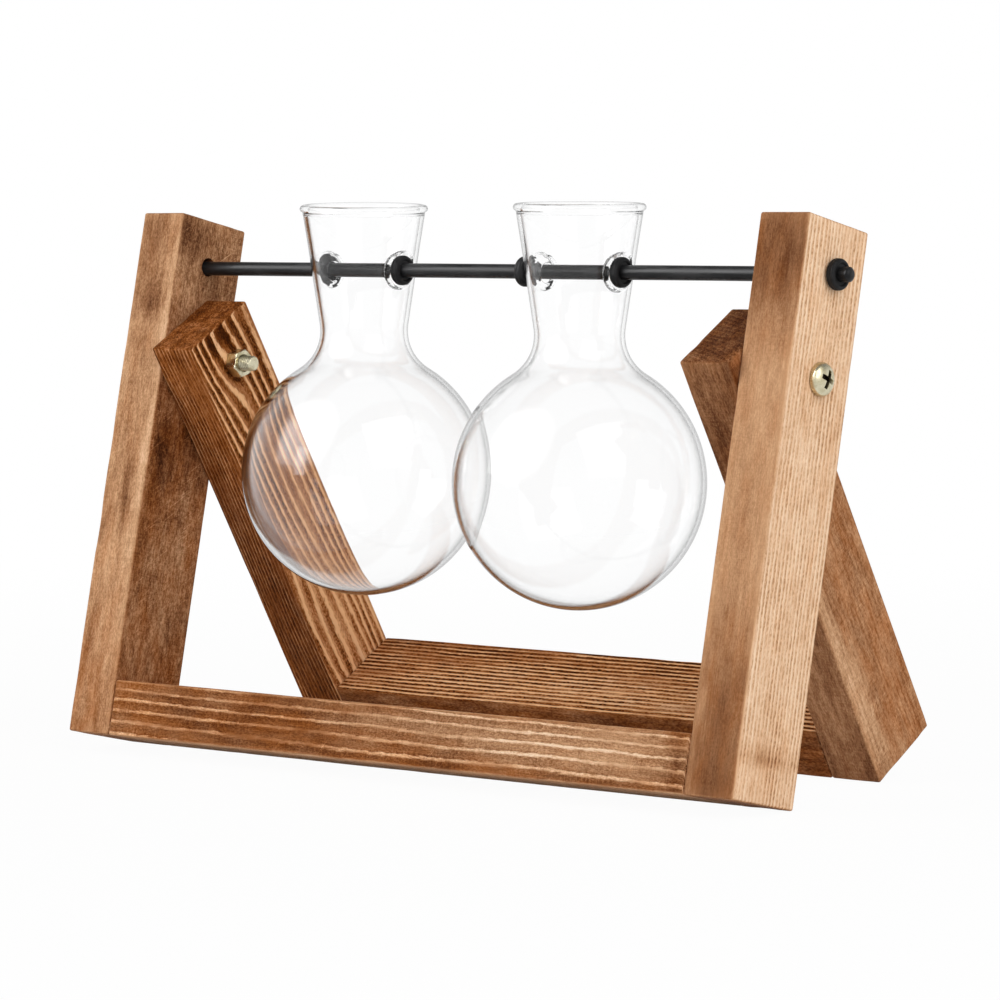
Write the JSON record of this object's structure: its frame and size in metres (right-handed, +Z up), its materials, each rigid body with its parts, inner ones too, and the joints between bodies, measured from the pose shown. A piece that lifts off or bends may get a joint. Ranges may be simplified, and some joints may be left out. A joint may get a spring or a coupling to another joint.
{
  "type": "propagation vase",
  "caption": "Folding wooden A-frame stand with clear glass bulb vases hung by their necks on a black rod, for rooting plant cuttings in water.",
  "frame": {"origin": "on the table, midway between the front and back of the feet and midway along the rod", "axes": "+X along the rod to the right, -Y to the front where the tall legs stand, +Z up"},
  "size_m": [0.2826, 0.1238, 0.1768],
  "materials": {
    "stained_wood": "brown stain over open grain",
    "dowel_wood": "plain",
    "black_rubber": "matte",
    "zinc_steel": "yellowish zinc",
    "clear_glass": "clear, polished",
    "black_steel": "satin black"
  },
  "bodies": {
    "front_frame": {"tall_leg_left": "stained_wood", "tall_leg_right": "stained_wood", "front_crossbar": "stained_wood", "front_dowels_left": "dowel_wood", "front_dowels_right": "dowel_wood", "pivot_bolt_left": "zinc_steel", "pivot_bolt_right": "zinc_steel", "pivot_nut_left": "zinc_steel", "pivot_nut_right": "zinc_steel"},
    "rear_frame": {"short_leg_left": "stained_wood", "short_leg_right": "stained_wood", "rear_crossbar": "stained_wood", "rear_dowels_left": "dowel_wood", "rear_dowels_right": "dowel_wood"},
    "rod": {"hanging_rod": "black_steel", "rod_end_ring_left": "black_rubber", "rod_end_ring_right": "black_rubber", "left_vase_ring_outer": "black_rubber", "left_vase_ring_inner": "black_rubber", "right_vase_ring_inner": "black_rubber", "right_vase_ring_outer": "black_rubber"},
    "left_vase": {"vase_left": "clear_glass"},
    "right_vase": {"vase_right": "clear_glass"}
  },
  "joints": [
    {"name": "frame_fold", "type": "hinge", "parent": "front_frame", "child": "rear_frame", "pos_m": [0, -0.02097, 0.12486], "axis": [1, 0, 0], "range_deg": [-26.5, 47]},
    {"name": "rod_spin", "type": "hinge", "parent": "front_frame", "child": "rod", "pos_m": [0, -0.01441, 0.15516], "axis": [1, 0, 0], "continuous": true},
    {"name": "left_vase_swing", "type": "hinge", "parent": "front_frame", "child": "left_vase", "pos_m": [-0.0483, -0.01441, 0.15516], "axis": [1, 0, 0], "continuous": true},
    {"name": "right_vase_swing", "type": "hinge", "parent": "front_frame", "child": "right_vase", "pos_m": [0.0397, -0.01441, 0.15516], "axis": [1, 0, 0], "continuous": true}
  ]
}
